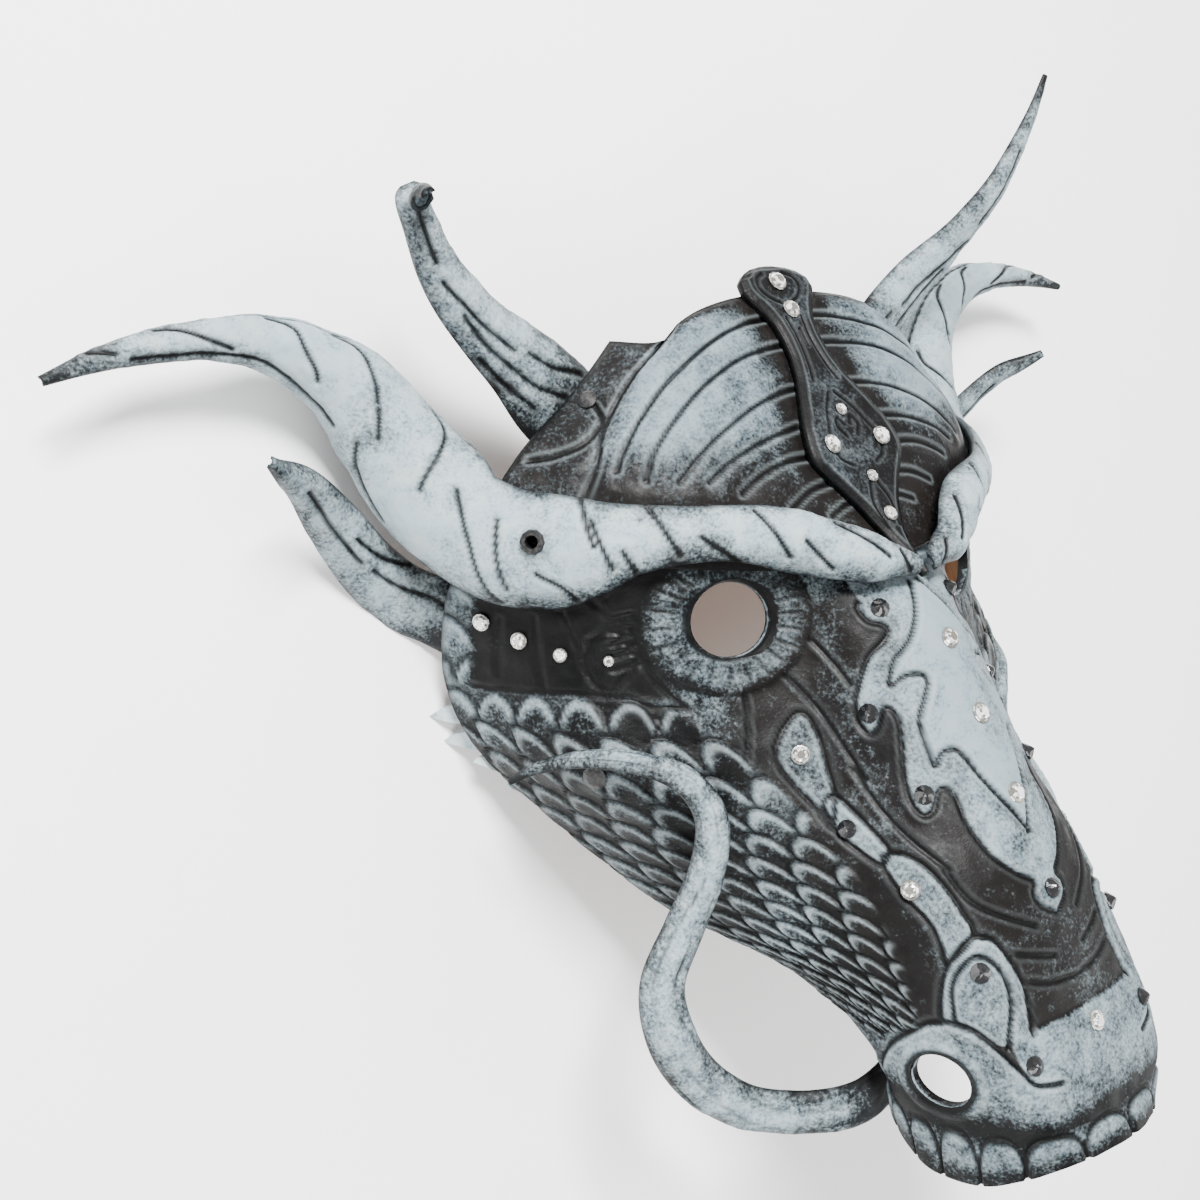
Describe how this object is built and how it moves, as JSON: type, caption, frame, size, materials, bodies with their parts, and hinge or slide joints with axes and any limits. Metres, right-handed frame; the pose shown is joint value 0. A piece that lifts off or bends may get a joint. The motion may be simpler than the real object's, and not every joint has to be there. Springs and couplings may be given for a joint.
{
  "type": "horned animal-face mask",
  "caption": "Wet-formed leather half mask of a horned beast: long snout with teeth edge, brow, upper and temple horns, curled barbels, crest strap and set stones.",
  "frame": {"origin": "middle of the bounding box at the ground, the mask lying on its back with its face up", "axes": "+X across the face towards the wearer's left, +Y up the forehead towards the crown, +Z out of the face"},
  "size_m": [0.3726, 0.283, 0.134],
  "materials": {
    "face_leather": "tooled, painted black and dry-brushed pale blue-grey, satin",
    "crown_leather": "tooled ribs, dry-brushed blue-grey over black, satin",
    "strap_leather": "charcoal with pale speckle and a black bevelled border",
    "horn_leather": "pale grey speckle with black tooled lines, satin",
    "clear_stone": "clear faceted crystal",
    "black_stone": "black faceted cone",
    "dark_metal": "blackened metal"
  },
  "bodies": {
    "root": {"face": "face_leather", "crown": "crown_leather", "crest_strap": "strap_leather", "brow_horn_right": "horn_leather", "eyelet_right": "dark_metal", "upper_horn_right": "horn_leather", "temple_horn_right": "horn_leather", "barbel_right": "horn_leather", "brow_horn_left": "horn_leather", "eyelet_left": "dark_metal", "upper_horn_left": "horn_leather", "temple_horn_left": "horn_leather", "barbel_left": "horn_leather", "jaw_spikes_right": "horn_leather", "jaw_spikes_left": "horn_leather", "crown_snap_right": "dark_metal", "cheek_rivet_right": "dark_metal", "crown_snap_left": "dark_metal", "cheek_rivet_left": "dark_metal", "stone_strap_1": "clear_stone", "stone_strap_2": "clear_stone", "stone_strap_3": "clear_stone", "stone_strap_5": "clear_stone", "stone_strap_6": "clear_stone", "stone_snout_1": "clear_stone", "stone_snout_2": "clear_stone", "stone_snout_3": "clear_stone", "stone_nose": "clear_stone", "stud_plate_tip": "black_stone", "stone_strap_4_right": "clear_stone", "stone_strap_4_left": "clear_stone", "stone_temple_1_right": "clear_stone", "stone_temple_1_left": "clear_stone", "stone_temple_2_right": "clear_stone", "stone_temple_2_left": "clear_stone", "stone_temple_3_right": "clear_stone", "stone_temple_3_left": "clear_stone", "stone_temple_4_right": "clear_stone", "stone_temple_4_left": "clear_stone", "stone_flank_1_right": "clear_stone", "stone_flank_1_left": "clear_stone", "stud_flank_2_right": "black_stone", "stud_flank_2_left": "black_stone", "stone_flank_3_right": "clear_stone", "stone_flank_3_left": "clear_stone", "stud_flank_4_right": "black_stone", "stud_flank_4_left": "black_stone", "stud_plate_1_right": "black_stone", "stud_plate_1_left": "black_stone", "stud_plate_2_right": "black_stone", "stud_plate_2_left": "black_stone", "stud_plate_3_right": "black_stone", "stud_plate_3_left": "black_stone", "stud_nose_side_right": "black_stone", "stud_nose_side_left": "black_stone"}
  },
  "joints": []
}
